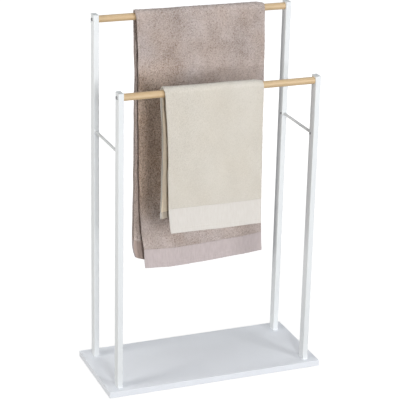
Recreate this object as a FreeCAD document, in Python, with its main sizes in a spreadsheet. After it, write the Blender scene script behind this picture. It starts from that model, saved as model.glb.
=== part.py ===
import FreeCAD, Part
import Sketcher
import math
import os

# Freestanding towel stand: a white base board, four slim rectangular uprights, two round wooden
# bars at two heights, two thin rods that tie front to rear, and the towels that hang on the bars.
# Millimetres. +X runs along the bars, +Y from front to rear, +Z up. The origin is the middle of the
# footprint, on the surface the stand rests on.

doc = FreeCAD.newDocument("towel_stand")

# ---------------------------------------------------------------- driving dimensions
SIZES = [
    ("base_width", 550.0, "base board, along X"),
    ("base_depth", 245.0, "base board, along Y"),
    ("base_thick", 15.0, "base board thickness"),
    ("base_arris", 0.8, "eased edges of the base board"),
    ("pad_thick", 2.0, "thin foot pads under the board"),
    ("pad_dia", 18.0, "foot pad diameter"),
    ("pad_inset_x", 14.0, "pad centre from the board's end"),
    ("pad_inset_y", 14.0, "pad centre from the board's long edge"),
    ("rear_top", 887.0, "top of the rear uprights above the floor"),
    ("front_top", 750.0, "top of the front uprights above the floor"),
    ("post_out", 243.5, "centre of each upright from the middle, along X"),
    ("front_in", 94.0, "centre of the front uprights in front of the middle"),
    ("rear_in", 88.0, "centre of the rear uprights behind the middle"),
    ("tube_across", 13.0, "tube section along X"),
    ("tube_deep", 25.0, "tube section along Y"),
    ("tube_wall", 1.2, "tube wall"),
    ("tube_round", 1.5, "outer corner radius of the tube"),
    ("cap_flange", 1.5, "cap flange on top of the tube"),
    ("cap_spigot", 6.0, "cap spigot inside the tube"),
    ("cap_round", 0.5, "eased top edge of the cap"),
    ("plug_long", 20.0, "threaded plug in the foot of the tube"),
    ("bolt_dia", 6.0, "thread of the base bolts"),
    ("bolt_long", 25.0, "shank of the base bolts"),
    ("bolt_head_dia", 10.0, "base bolt head"),
    ("bolt_head_tall", 3.6, "base bolt head height"),
    ("sink_dia", 15.0, "counterbore in the underside of the board"),
    ("sink_deep", 6.5, "depth of that counterbore"),
    ("washer_dia", 13.0, "base washer"),
    ("washer_thick", 1.2, "base washer thickness"),
    ("bar_dia", 17.0, "wooden bar"),
    ("bar_drop", 12.0, "bar axis below the top of its uprights"),
    ("insert_dia", 8.0, "threaded insert in each end of a bar"),
    ("insert_long", 12.0, "insert length"),
    ("bar_bore_deep", 20.0, "pilot bore behind the insert"),
    ("bar_screw_dia", 5.0, "screw through the upright into the bar"),
    ("bar_screw_long", 23.0, "its shank"),
    ("bar_screw_head_dia", 8.0, "its head"),
    ("bar_screw_head_tall", 2.4, "its head height"),
    ("brace_height", 605.0, "axis of the side rods above the floor"),
    ("brace_dia", 7.0, "side rod"),
    ("brace_grip", 11.0, "length of rod inside each upright"),
    ("brace_pin_in", 6.5, "cross screw behind the face the rod enters"),
    ("brace_screw_dia", 3.0, "cross screw that holds the rod"),
    ("brace_screw_long", 9.0, "its shank"),
    ("brace_screw_head_dia", 5.5, "its head"),
    ("brace_screw_head_tall", 1.7, "its head height"),
    ("play", 0.1, "clearance on a shank's diameter"),
    ("fold_thick", 6.0, "folded towel, both plies"),
    ("fold_gap", 0.5, "between bar and towel"),
    ("bath_left", 141.5, "bath towel: left edge of the middle"),
    ("bath_right", 181.0, "right edge"),
    ("bath_back", 621.0, "rear fall below the bar axis"),
    ("bath_front_left", 635.0, "front fall at its left corner"),
    ("bath_front_right", 626.0, "front fall at its right corner"),
    ("bath_low_left", 117.0, "front hem: left corner left of the middle"),
    ("bath_low_right", 198.0, "front hem: right corner"),
    ("hand_left", 139.0, "hand towel: left edge"),
    ("hand_right", 106.0, "right edge"),
    ("hand_back", 304.0, "rear fall below the bar axis"),
    ("hand_front_left", 338.0, "front fall at its left corner"),
    ("hand_front_right", 338.7, "front fall at its right corner"),
    ("hand_low_left", 119.0, "front hem: left corner"),
    ("hand_low_right", 109.0, "front hem: right corner"),
]

sheet = doc.addObject("Spreadsheet::Sheet", "dims")
value = {}
for i, (alias, number, what) in enumerate(SIZES, start=1):
    sheet.set("A%d" % i, what)
    sheet.set("B%d" % i, str(number))
    sheet.setAlias("B%d" % i, alias)
    value[alias] = number
doc.recompute()


class Q:
    """A size and the expression that gives it, so geometry and binding are always the same."""

    def __init__(self, text, number):
        self.text, self.number = text, number

    @staticmethod
    def of(x):
        return x if isinstance(x, Q) else Q(repr(float(x)), float(x))

    def __add__(self, o):
        o = Q.of(o)
        return Q("(%s + %s)" % (self.text, o.text), self.number + o.number)

    def __sub__(self, o):
        o = Q.of(o)
        return Q("(%s - %s)" % (self.text, o.text), self.number - o.number)

    def __mul__(self, o):
        o = Q.of(o)
        return Q("(%s * %s)" % (self.text, o.text), self.number * o.number)

    def __truediv__(self, o):
        o = Q.of(o)
        return Q("(%s / %s)" % (self.text, o.text), self.number / o.number)

    def __neg__(self):
        return Q("(0 - %s)" % self.text, -self.number)

    def __radd__(self, o):
        return Q.of(o) + self

    def __rsub__(self, o):
        return Q.of(o) - self

    def __rmul__(self, o):
        return Q.of(o) * self


def d(alias):
    return Q("<<dims>>." + alias, value[alias])


ZERO = Q.of(0)
made = []  # every finished sub-part, in the order it is written


def bind(obj, prop, q):
    """Sets a property and binds it to the sheet."""
    q = Q.of(q)
    obj.setExpression(prop, q.text)


def place(obj, x, y, z, rotation=None):
    obj.Placement = FreeCAD.Placement(
        FreeCAD.Vector(Q.of(x).number, Q.of(y).number, Q.of(z).number),
        rotation or FreeCAD.Rotation(),
    )
    for axis, q in (("x", x), ("y", y), ("z", z)):
        obj.setExpression("Placement.Base." + axis, Q.of(q).text)


def finish(obj, label):
    obj.Label = label
    made.append(obj)
    return obj


def body(name):
    return doc.addObject("PartDesign::Body", name)


def plane(b, role):
    return [o for o in b.Origin.OriginFeatures if o.Role == role][0]


def sketch(b, name, role, offset=None):
    s = b.newObject("Sketcher::SketchObject", name)
    s.AttachmentSupport = [(plane(b, role), "")]
    s.MapMode = "FlatFace"
    if offset is not None:
        s.AttachmentOffset = FreeCAD.Placement(
            FreeCAD.Vector(0, 0, offset.number), FreeCAD.Rotation()
        )
        s.setExpression("AttachmentOffset.Base.z", offset.text)
    return s


def fix_point(s, geo, pos, x, y):
    """Ties one point of the sketch to its place from the sketch's origin."""
    for kind, q in (("DistanceX", x), ("DistanceY", y)):
        n = s.addConstraint(Sketcher.Constraint(kind, -1, 1, geo, pos, q.number))
        s.setExpression("Constraints[%d]" % n, q.text)


def polygon(s, points):
    """A closed outline through the given points, each tied to the sheet."""
    pts = [(Q.of(x), Q.of(y)) for x, y in points]
    v = [FreeCAD.Vector(x.number, y.number, 0) for x, y in pts]
    first = None
    for i in range(len(v)):
        g = s.addGeometry(Part.LineSegment(v[i], v[(i + 1) % len(v)]), False)
        first = g if first is None else first
    n = len(v)
    for i in range(n):
        s.addConstraint(
            Sketcher.Constraint("Coincident", first + i, 2, first + (i + 1) % n, 1)
        )
    for i, (x, y) in enumerate(pts):
        fix_point(s, first + i, 1, x, y)


def rectangle(s, x0, y0, x1, y1):
    polygon(s, [(x0, y0), (x1, y0), (x1, y1), (x0, y1)])


def circle(s, x, y, radius):
    x, y, radius = Q.of(x), Q.of(y), Q.of(radius)
    g = s.addGeometry(
        Part.Circle(
            FreeCAD.Vector(x.number, y.number, 0),
            FreeCAD.Vector(0, 0, 1),
            radius.number,
        ),
        False,
    )
    fix_point(s, g, 3, x, y)
    n = s.addConstraint(Sketcher.Constraint("Radius", g, radius.number))
    s.setExpression("Constraints[%d]" % n, radius.text)


def pad(b, s, length, symmetric=False, reverse=False):
    p = b.newObject("PartDesign::Pad", s.Name + "_pad")
    p.Profile = s
    if symmetric:
        p.SideType = "Symmetric"
    p.Reversed = reverse
    p.Length = Q.of(length).number
    bind(p, "Length", length)
    b.Tip = p
    doc.recompute()
    return p


def pocket(b, s, length, symmetric=False, reverse=False):
    before = b.Shape.Volume
    p = b.newObject("PartDesign::Pocket", s.Name + "_pocket")
    p.Profile = s
    if symmetric:
        p.SideType = "Symmetric"
    p.Reversed = reverse
    p.Length = Q.of(length).number
    bind(p, "Length", length)
    b.Tip = p
    doc.recompute()
    if not b.Shape.Volume < before - 1e-3:
        raise RuntimeError("%s cuts nothing" % p.Name)
    return p


def edge_names(shape, test):
    return ["Edge%d" % (i + 1) for i, e in enumerate(shape.Edges) if test(e)]


def is_upright(e):
    a, z = e.Vertexes[0].Point, e.Vertexes[-1].Point
    return (a - z).Length > 1 and abs(abs((z - a).z) - (a - z).Length) < 1e-6


def round_edges(b, feature, names, radius, label):
    f = b.newObject("PartDesign::Fillet", label)
    f.Base = (feature, names)
    f.Radius = Q.of(radius).number
    bind(f, "Radius", radius)
    b.Tip = f
    doc.recompute()
    return f


# ---------------------------------------------------------------- shared levels
base_top = d("pad_thick") + d("base_thick")
half_across = d("tube_across") / 2
half_deep = d("tube_deep") / 2
POSTS = {  # side: -1 left, +1 right; row: -1 front, +1 rear
    "front_left": (-1, -1),
    "front_right": (1, -1),
    "rear_left": (-1, 1),
    "rear_right": (1, 1),
}


def post_x(side):
    return d("post_out") * side


def post_y(row):
    return d("rear_in") if row > 0 else -d("front_in")


def post_top(row):
    return d("rear_top") if row > 0 else d("front_top")


# ---------------------------------------------------------------- base board
b = body("base_board_body")
s = sketch(b, "base_outline", "XY_Plane")
rectangle(
    s,
    -d("base_width") / 2,
    -d("base_depth") / 2,
    d("base_width") / 2,
    d("base_depth") / 2,
)
p = pad(b, s, d("base_thick"))
round_edges(
    b,
    p,
    edge_names(p.Shape, lambda e: True),
    d("base_arris"),
    "base_arris_fillet",
)
s = sketch(b, "base_bolt_holes", "XY_Plane")
for side, row in POSTS.values():
    circle(s, post_x(side), post_y(row), d("bolt_dia") / 2 + 0.3)
pocket(b, s, d("base_thick"), reverse=True)
s = sketch(b, "base_counterbores", "XY_Plane")
for side, row in POSTS.values():
    circle(s, post_x(side), post_y(row), d("sink_dia") / 2)
pocket(b, s, d("sink_deep"), reverse=True)
place(b, 0, 0, d("pad_thick"))
finish(b, "base_board")

# ---------------------------------------------------------------- foot pads
pads = []
for side in (-1, 1):
    for row in (-1, 1):
        c = doc.addObject("Part::Cylinder", "foot_pad")
        bind(c, "Radius", d("pad_dia") / 2)
        bind(c, "Height", d("pad_thick"))
        place(
            c,
            (d("base_width") / 2 - d("pad_inset_x")) * side,
            (d("base_depth") / 2 - d("pad_inset_y")) * row,
            0,
        )
        pads.append(c)
group = doc.addObject("Part::Compound", "foot_pads")
group.Links = pads
finish(group, "base_feet")

# ---------------------------------------------------------------- uprights, caps and foot plugs
for name, (side, row) in POSTS.items():
    tall = post_top(row) - d("cap_flange") - base_top
    b = body(name + "_post_body")
    s = sketch(b, name + "_section", "XY_Plane")
    rectangle(s, -half_across, -half_deep, half_across, half_deep)
    p = pad(b, s, tall)
    round_edges(
        b, p, edge_names(p.Shape, is_upright), d("tube_round"), name + "_corners"
    )
    s = sketch(b, name + "_bore", "XY_Plane")
    rectangle(
        s,
        d("tube_wall") - half_across,
        d("tube_wall") - half_deep,
        half_across - d("tube_wall"),
        half_deep - d("tube_wall"),
    )
    pocket(b, s, tall, reverse=True)
    # through both side walls for the screw that holds the bar
    s = sketch(b, name + "_bar_hole", "YZ_Plane")
    circle(
        s,
        0,
        post_top(row) - d("bar_drop") - base_top,
        d("bar_screw_dia") / 2 + d("play"),
    )
    pocket(b, s, d("tube_across") * 2, symmetric=True)
    # through the one wall that faces the other row, for the rod
    s = sketch(b, name + "_rod_hole", "XZ_Plane")
    circle(s, 0, d("brace_height") - base_top, d("brace_dia") / 2 + d("play") / 2)
    pocket(b, s, d("tube_deep"), reverse=(row > 0))
    # through the inner side wall, for the small screw that holds the rod
    s = sketch(b, name + "_pin_hole", "YZ_Plane")
    circle(
        s,
        (d("brace_pin_in") - half_deep) * row,
        d("brace_height") - base_top,
        d("brace_screw_dia") / 2 + d("play"),
    )
    pocket(b, s, d("tube_across"), reverse=(side < 0))
    place(b, post_x(side), post_y(row), base_top)
    finish(b, name + "_post")

for name, (side, row) in POSTS.items():
    b = body(name + "_cap_body")
    s = sketch(b, name + "_cap_outline", "XY_Plane")
    rectangle(s, -half_across, -half_deep, half_across, half_deep)
    p = pad(b, s, d("cap_flange"))
    f = round_edges(
        b, p, edge_names(p.Shape, is_upright), d("tube_round"), name + "_cap_corners"
    )
    top = d("cap_flange").number
    round_edges(
        b,
        f,
        edge_names(
            f.Shape, lambda e: all(abs(v.Point.z - top) < 1e-6 for v in e.Vertexes)
        ),
        d("cap_round"),
        name + "_cap_top",
    )
    s = sketch(b, name + "_spigot", "XY_Plane")
    rectangle(
        s,
        d("tube_wall") - half_across,
        d("tube_wall") - half_deep,
        half_across - d("tube_wall"),
        half_deep - d("tube_wall"),
    )
    pad(b, s, d("cap_spigot"), reverse=True)
    place(b, post_x(side), post_y(row), post_top(row) - d("cap_flange"))
    finish(b, name + "_cap")

for name, (side, row) in POSTS.items():
    b = body(name + "_foot_plug_body")
    s = sketch(b, name + "_plug_outline", "XY_Plane")
    rectangle(
        s,
        d("tube_wall") - half_across,
        d("tube_wall") - half_deep,
        half_across - d("tube_wall"),
        half_deep - d("tube_wall"),
    )
    pad(b, s, d("plug_long"))
    s = sketch(b, name + "_plug_thread", "XY_Plane")
    circle(s, 0, 0, d("bolt_dia") / 2)
    pocket(b, s, d("plug_long"), reverse=True)
    place(b, post_x(side), post_y(row), base_top)
    finish(b, name + "_foot_plug")


# ---------------------------------------------------------------- wooden bars and their inserts
def bar(name, row):
    """A turned bar as one profile spun round its axis, with a stepped blind bore at each end."""
    half = d("post_out") - half_across
    r, ri, rb = d("bar_dia") / 2, d("insert_dia") / 2, d("bar_screw_dia") / 2 + 0.2
    a, c = half - d("insert_long"), half - d("bar_bore_deep")
    b = body(name + "_body")
    s = sketch(b, name + "_profile", "XZ_Plane")
    polygon(
        s,
        [
            (-half, ri),
            (-half, r),
            (half, r),
            (half, ri),
            (a, ri),
            (a, rb),
            (c, rb),
            (c, ZERO),
            (-c, ZERO),
            (-c, rb),
            (-a, rb),
            (-a, ri),
        ],
    )
    rev = b.newObject("PartDesign::Revolution", name + "_turned")
    rev.Profile = s
    rev.ReferenceAxis = (s, ["H_Axis"])
    rev.Angle = 360.0
    b.Tip = rev
    doc.recompute()
    place(b, 0, post_y(row), post_top(row) - d("bar_drop"))
    finish(b, name)


bar("front_bar", -1)
bar("rear_bar", 1)

inserts = []
for side, row in POSTS.values():
    outer = doc.addObject("Part::Cylinder", "insert_outside")
    bind(outer, "Radius", d("insert_dia") / 2)
    bind(outer, "Height", d("insert_long"))
    bore = doc.addObject("Part::Cylinder", "insert_bore")
    bind(bore, "Radius", d("bar_screw_dia") / 2)
    bind(bore, "Height", d("insert_long"))
    cut = doc.addObject("Part::Cut", "bar_insert")
    cut.Base, cut.Tool = outer, bore
    place(
        cut,
        (d("post_out") - half_across) * side,
        post_y(row),
        post_top(row) - d("bar_drop"),
        FreeCAD.Rotation(FreeCAD.Vector(0, 1, 0), -90.0 * side),
    )
    inserts.append(cut)
group = doc.addObject("Part::Compound", "insert_group")
group.Links = inserts
finish(group, "bar_inserts")


# ---------------------------------------------------------------- screws, bolts and washers
def screw(name, head_dia, head_tall, shank_dia, shank_long, key, key_deep, dome):
    """Head above its seat at z = 0, shank below, with a six-sided socket in the head."""
    head = doc.addObject("Part::Cylinder", name + "_head")
    bind(head, "Radius", head_dia / 2)
    bind(head, "Height", head_tall)
    crown = doc.addObject("Part::Fillet", name + "_crown")
    crown.Base = head
    doc.recompute()
    rim = [
        i + 1
        for i, e in enumerate(head.Shape.Edges)
        if e.Length > 1
        and all(abs(v.Point.z - head_tall.number) < 1e-6 for v in e.Vertexes)
    ]
    crown.Edges = [(i, dome, dome) for i in rim]
    shank = doc.addObject("Part::Cylinder", name + "_shank")
    bind(shank, "Radius", (shank_dia - d("play")) / 2)
    bind(shank, "Height", shank_long)
    place(shank, 0, 0, -shank_long)
    whole = doc.addObject("Part::MultiFuse", name + "_whole")
    whole.Shapes = [crown, shank]
    socket = doc.addObject("Part::Prism", name + "_socket")
    socket.Polygon = 6
    bind(socket, "Circumradius", Q.of(key / math.sqrt(3.0)))
    bind(socket, "Height", Q.of(key_deep + 1.0))
    place(socket, 0, 0, head_tall - key_deep)
    out = doc.addObject("Part::Cut", name)
    out.Base, out.Tool = whole, socket
    return out


bolts, washers = [], []
seat = d("pad_thick") + d("sink_deep") - d("washer_thick")
for side, row in POSTS.values():
    one = screw(
        "base_bolt",
        d("bolt_head_dia"),
        d("bolt_head_tall"),
        d("bolt_dia"),
        d("bolt_long"),
        4.0,
        2.0,
        0.8,
    )
    place(
        one,
        post_x(side),
        post_y(row),
        seat,
        FreeCAD.Rotation(FreeCAD.Vector(1, 0, 0), 180.0),
    )
    bolts.append(one)
    ring = doc.addObject("Part::Cylinder", "washer_disc")
    bind(ring, "Radius", d("washer_dia") / 2)
    bind(ring, "Height", d("washer_thick"))
    hole = doc.addObject("Part::Cylinder", "washer_hole")
    bind(hole, "Radius", d("bolt_dia") / 2 + 0.2)
    bind(hole, "Height", d("washer_thick"))
    cut = doc.addObject("Part::Cut", "base_washer")
    cut.Base, cut.Tool = ring, hole
    place(cut, post_x(side), post_y(row), seat)
    washers.append(cut)
group = doc.addObject("Part::Compound", "bolt_group")
group.Links = bolts
finish(group, "base_bolts")
group = doc.addObject("Part::Compound", "washer_group")
group.Links = washers
finish(group, "base_washers")

bar_screws, brace_screws = [], []
for side, row in POSTS.values():
    one = screw(
        "bar_screw",
        d("bar_screw_head_dia"),
        d("bar_screw_head_tall"),
        d("bar_screw_dia"),
        d("bar_screw_long"),
        3.0,
        1.5,
        1.2,
    )
    place(
        one,
        (d("post_out") + half_across) * side,
        post_y(row),
        post_top(row) - d("bar_drop"),
        FreeCAD.Rotation(FreeCAD.Vector(0, 1, 0), 90.0 * side),
    )
    bar_screws.append(one)
    one = screw(
        "brace_screw",
        d("brace_screw_head_dia"),
        d("brace_screw_head_tall"),
        d("brace_screw_dia"),
        d("brace_screw_long"),
        2.0,
        1.0,
        0.8,
    )
    place(
        one,
        (d("post_out") - half_across) * side,
        post_y(row) + (d("brace_pin_in") - half_deep) * row,
        d("brace_height"),
        FreeCAD.Rotation(FreeCAD.Vector(0, 1, 0), -90.0 * side),
    )
    brace_screws.append(one)
group = doc.addObject("Part::Compound", "bar_screw_group")
group.Links = bar_screws
finish(group, "bar_screws")
group = doc.addObject("Part::Compound", "brace_screw_group")
group.Links = brace_screws
finish(group, "brace_screws")

# ---------------------------------------------------------------- side rods
rear_end = d("rear_in") - half_deep + d("brace_grip")
front_end = -d("front_in") + half_deep - d("brace_grip")
rod_long = rear_end - front_end
rod_mid = (rear_end + front_end) / 2
for name, side in (("left_brace", -1), ("right_brace", 1)):
    b = body(name + "_body")
    s = sketch(b, name + "_section", "XZ_Plane")
    circle(s, 0, 0, d("brace_dia") / 2)
    pad(b, s, rod_long, symmetric=True)
    s = sketch(b, name + "_cross_holes", "YZ_Plane")
    reach = rod_long / 2 - d("brace_grip") + d("brace_pin_in")
    for way in (-1, 1):
        circle(s, reach * way, 0, d("brace_screw_dia") / 2)
    pocket(b, s, d("brace_dia") * 2, symmetric=True)
    place(b, post_x(side), rod_mid, d("brace_height"))
    finish(b, name)


# ---------------------------------------------------------------- towels
def towel(name, row, left, right, back, front, low):
    """Folded lengthwise and laid over its bar: a saddle with the rear fall, and the front fall."""
    inner = d("bar_dia") / 2 + d("fold_gap")
    outer = inner + d("fold_thick")
    middle = (right - left) / 2
    half = (right + left) / 2
    b = body(name + "_body")
    # saddle and rear fall: one profile across the bar
    s = sketch(b, name + "_saddle", "YZ_Plane")
    V = FreeCAD.Vector
    ro, ri, fall = outer.number, inner.number, back.number
    up = FreeCAD.Vector(0, 0, 1)
    s.addGeometry(Part.LineSegment(V(ro, 0, 0), V(ro, -fall, 0)), False)
    s.addGeometry(Part.LineSegment(V(ro, -fall, 0), V(ri, -fall, 0)), False)
    s.addGeometry(Part.LineSegment(V(ri, -fall, 0), V(ri, 0, 0)), False)
    s.addGeometry(Part.ArcOfCircle(Part.Circle(V(0, 0, 0), up, ri), 0, math.pi), False)
    s.addGeometry(Part.LineSegment(V(-ri, 0, 0), V(-ro, 0, 0)), False)
    s.addGeometry(Part.ArcOfCircle(Part.Circle(V(0, 0, 0), up, ro), 0, math.pi), False)
    joined = [
        (0, 2, 1, 1),
        (1, 2, 2, 1),
        (2, 2, 3, 1),
        (3, 2, 4, 1),
        (4, 2, 5, 2),
        (5, 1, 0, 1),
    ]
    for g1, p1, g2, p2 in joined:
        s.addConstraint(Sketcher.Constraint("Coincident", g1, p1, g2, p2))
    s.addConstraint(Sketcher.Constraint("Coincident", 3, 3, -1, 1))
    s.addConstraint(Sketcher.Constraint("Coincident", 5, 3, -1, 1))
    s.addConstraint(Sketcher.Constraint("PointOnObject", 0, 1, -1))
    s.addConstraint(Sketcher.Constraint("PointOnObject", 2, 2, -1))
    s.addConstraint(Sketcher.Constraint("Horizontal", 4))
    s.addConstraint(Sketcher.Constraint("PointOnObject", 4, 1, -1))
    s.addConstraint(Sketcher.Constraint("Vertical", 0))
    s.addConstraint(Sketcher.Constraint("Horizontal", 1))
    s.addConstraint(Sketcher.Constraint("Vertical", 2))
    n = s.addConstraint(Sketcher.Constraint("Radius", 3, ri))
    s.setExpression("Constraints[%d]" % n, inner.text)
    n = s.addConstraint(Sketcher.Constraint("Radius", 5, ro))
    s.setExpression("Constraints[%d]" % n, outer.text)
    n = s.addConstraint(Sketcher.Constraint("DistanceY", 0, 2, 0, 1, fall))
    s.setExpression("Constraints[%d]" % n, back.text)
    pad(b, s, half * 2, symmetric=True)
    # front fall: its lower edge is swung a little to one side
    s = sketch(b, name + "_front_fall", "XZ_Plane", offset=inner)
    polygon(
        s,
        [
            (-half, ZERO),
            (half, ZERO),
            (low[1] - middle, -front[1]),
            (-low[0] - middle, -front[0]),
        ],
    )
    pad(b, s, d("fold_thick"))
    place(b, middle, post_y(row), post_top(row) - d("bar_drop"))
    finish(b, name)


towel(
    "bath_towel",
    1,
    d("bath_left"),
    d("bath_right"),
    d("bath_back"),
    (d("bath_front_left"), d("bath_front_right")),
    (d("bath_low_left"), d("bath_low_right")),
)
towel(
    "hand_towel",
    -1,
    d("hand_left"),
    d("hand_right"),
    d("hand_back"),
    (d("hand_front_left"), d("hand_front_right")),
    (d("hand_low_left"), d("hand_low_right")),
)

# ---------------------------------------------------------------- check and write
doc.recompute()
for o in doc.Objects:
    if "Invalid" in o.State or "Error" in o.State:
        raise RuntimeError("%s is in state %s" % (o.Name, o.State))
os.makedirs("parts", exist_ok=True)
labels = set()
for o in made:
    shape = o.Shape
    if shape.isNull() or not shape.isValid():
        raise RuntimeError("%s has no valid shape" % o.Label)
    if o.Label in labels:
        raise RuntimeError("%s is named twice" % o.Label)
    labels.add(o.Label)
for o in made:
    shape = o.Shape
    shape.exportStep(os.path.join("parts", o.Label + ".step"))
    box = shape.BoundBox
    print(
        "%-24s solids %d  volume %10.1f  x %7.1f %7.1f  y %7.1f %7.1f  z %7.1f %7.1f"
        % (
            o.Label,
            len(shape.Solids),
            shape.Volume,
            box.XMin,
            box.XMax,
            box.YMin,
            box.YMax,
            box.ZMin,
            box.ZMax,
        )
    )
print("%d sub-parts" % len(made))
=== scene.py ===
import math

import bmesh
import bpy
import numpy as np
from mathutils import Matrix, Vector


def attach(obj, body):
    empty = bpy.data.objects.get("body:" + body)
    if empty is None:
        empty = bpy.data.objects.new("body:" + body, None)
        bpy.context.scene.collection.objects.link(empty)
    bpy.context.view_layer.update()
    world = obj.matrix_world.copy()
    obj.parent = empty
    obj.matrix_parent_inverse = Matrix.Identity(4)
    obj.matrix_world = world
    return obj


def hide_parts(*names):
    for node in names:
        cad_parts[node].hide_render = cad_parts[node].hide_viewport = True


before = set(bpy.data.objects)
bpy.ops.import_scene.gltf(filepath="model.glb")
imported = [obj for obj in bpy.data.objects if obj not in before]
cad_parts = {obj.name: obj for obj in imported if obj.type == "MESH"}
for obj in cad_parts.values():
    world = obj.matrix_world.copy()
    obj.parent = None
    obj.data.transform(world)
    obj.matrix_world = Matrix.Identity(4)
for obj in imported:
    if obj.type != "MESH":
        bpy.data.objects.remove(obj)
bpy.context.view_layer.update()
scene = bpy.context.scene
MM = 0.001

# ------------------------------------------------------------------ view
scene.view_settings.view_transform = "Standard"
scene.view_settings.look = "None"

yaw, pitch, roll = math.radians(21.7698), math.radians(20.2819), math.radians(1.28295)
forward = Vector(
    (
        math.sin(yaw) * math.cos(pitch),
        math.cos(yaw) * math.cos(pitch),
        -math.sin(pitch),
    )
)
flat_right = Vector((math.cos(yaw), -math.sin(yaw), 0))
flat_up = flat_right.cross(forward)
right = math.cos(roll) * flat_right + math.sin(roll) * flat_up
up = -math.sin(roll) * flat_right + math.cos(roll) * flat_up
cam_data = bpy.data.cameras.new("camera")
cam_data.sensor_width = 36.0
cam_data.lens = 142.343
cam_data.clip_start = 0.05
cam_data.clip_end = 200.0
cam = bpy.data.objects.new("camera", cam_data)
m = Matrix((right, up, -forward)).transposed().to_4x4()
m.translation = Vector((-1.334398, -3.325043, 1.756029))
cam.matrix_world = m
scene.collection.objects.link(cam)
scene.camera = cam


# ------------------------------------------------------------------ node helpers
def new_material(name):
    mat = bpy.data.materials.new(name)
    mat.use_nodes = True
    tree = mat.node_tree
    tree.nodes.clear()
    out = tree.nodes.new("ShaderNodeOutputMaterial")
    shader = tree.nodes.new("ShaderNodeBsdfPrincipled")
    tree.links.new(shader.outputs["BSDF"], out.inputs["Surface"])
    return mat, tree, shader


def math_node(tree, operation, a, b=None, clamp=False):
    n = tree.nodes.new("ShaderNodeMath")
    n.operation = operation
    n.use_clamp = clamp
    for i, v in enumerate((a, b)):
        if v is None:
            continue
        if isinstance(v, (int, float)):
            n.inputs[i].default_value = v
        else:
            tree.links.new(v, n.inputs[i])
    return n.outputs[0]


def object_coords(tree, scale=(1, 1, 1)):
    tc = tree.nodes.new("ShaderNodeTexCoord")
    mp = tree.nodes.new("ShaderNodeMapping")
    mp.inputs["Scale"].default_value = scale
    tree.links.new(tc.outputs["Object"], mp.inputs["Vector"])
    return mp.outputs["Vector"]


def cloth_coords(tree, scale=(1, 1, 1)):
    at = tree.nodes.new("ShaderNodeAttribute")
    at.attribute_name = "cloth"
    mp = tree.nodes.new("ShaderNodeMapping")
    mp.inputs["Scale"].default_value = scale
    tree.links.new(at.outputs["Vector"], mp.inputs["Vector"])
    return mp.outputs["Vector"]


def noise(tree, vector, scale, detail=2.0, rough=0.5, distortion=0.0):
    n = tree.nodes.new("ShaderNodeTexNoise")
    n.inputs["Scale"].default_value = scale
    n.inputs["Detail"].default_value = detail
    n.inputs["Roughness"].default_value = rough
    n.inputs["Distortion"].default_value = distortion
    tree.links.new(vector, n.inputs["Vector"])
    return n.outputs["Fac"]


def ramp(tree, value, stops, interpolation="LINEAR"):
    n = tree.nodes.new("ShaderNodeValToRGB")
    n.color_ramp.interpolation = interpolation
    e = n.color_ramp.elements
    while len(e) < len(stops):
        e.new(0.5)
    for el, (pos, col) in zip(e, stops):
        el.position = pos
        el.color = (*col, 1.0)
    tree.links.new(value, n.inputs["Fac"])
    return n.outputs["Color"]


def remap(tree, value, a, b, c, d):
    n = tree.nodes.new("ShaderNodeMapRange")
    n.inputs["From Min"].default_value = a
    n.inputs["From Max"].default_value = b
    n.inputs["To Min"].default_value = c
    n.inputs["To Max"].default_value = d
    tree.links.new(value, n.inputs["Value"])
    return n.outputs["Result"]


def bump(tree, height, strength, distance, normal=None):
    n = tree.nodes.new("ShaderNodeBump")
    n.inputs["Strength"].default_value = strength
    n.inputs["Distance"].default_value = distance
    tree.links.new(height, n.inputs["Height"])
    if normal is not None:
        tree.links.new(normal, n.inputs["Normal"])
    return n.outputs["Normal"]


def mix(tree, factor, a, b, blend="MIX"):
    n = tree.nodes.new("ShaderNodeMix")
    n.data_type = "RGBA"
    n.blend_type = blend
    for v, name in ((factor, "Factor"), (a, "A"), (b, "B")):
        s = [
            i
            for i in n.inputs
            if i.name == name
            and i.type == ("VALUE" if name == "Factor" else "RGBA")
        ][0]
        if isinstance(v, (int, float)):
            s.default_value = v
        elif isinstance(v, tuple):
            s.default_value = (*v, 1.0)
        else:
            tree.links.new(v, s)
    return [o for o in n.outputs if o.type == "RGBA"][0]


# ------------------------------------------------------------------ hard materials
def coated_steel(name, low, high, rough=(0.38, 0.5)):
    """Fine powder coat: a tight orange peel under a satin skin."""
    mat, tree, sh = new_material(name)
    where = object_coords(tree)
    peel = noise(tree, where, 900.0, 3.0, 0.55)
    cloud = noise(tree, where, 14.0, 3.0, 0.5)
    tree.links.new(ramp(tree, cloud, [(0.3, low), (0.7, high)]), sh.inputs["Base Color"])
    tree.links.new(remap(tree, peel, 0.3, 0.7, *rough), sh.inputs["Roughness"])
    tree.links.new(bump(tree, peel, 0.25, 0.00012), sh.inputs["Normal"])
    sh.inputs["Specular IOR Level"].default_value = 0.45
    return mat


def painted_board(name, low, high):
    """Rolled satin paint on smooth board, a little cooler than the steel."""
    mat, tree, sh = new_material(name)
    where = object_coords(tree)
    cloud = noise(tree, where, 7.0, 4.0, 0.55)
    stipple = noise(tree, where, 520.0, 3.0, 0.6)
    slow = noise(tree, where, 45.0, 2.0, 0.5)
    base = ramp(tree, cloud, [(0.32, low), (0.68, high)])
    base = mix(
        tree,
        remap(tree, stipple, 0.25, 0.75, 0.0, 0.16),
        base,
        tuple(c * 0.93 for c in low),
    )
    tree.links.new(base, sh.inputs["Base Color"])
    tree.links.new(remap(tree, stipple, 0.3, 0.7, 0.36, 0.5), sh.inputs["Roughness"])
    first = bump(tree, stipple, 0.25, 0.00015)
    tree.links.new(bump(tree, slow, 0.12, 0.0006, first), sh.inputs["Normal"])
    sh.inputs["Specular IOR Level"].default_value = 0.4
    return mat


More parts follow.
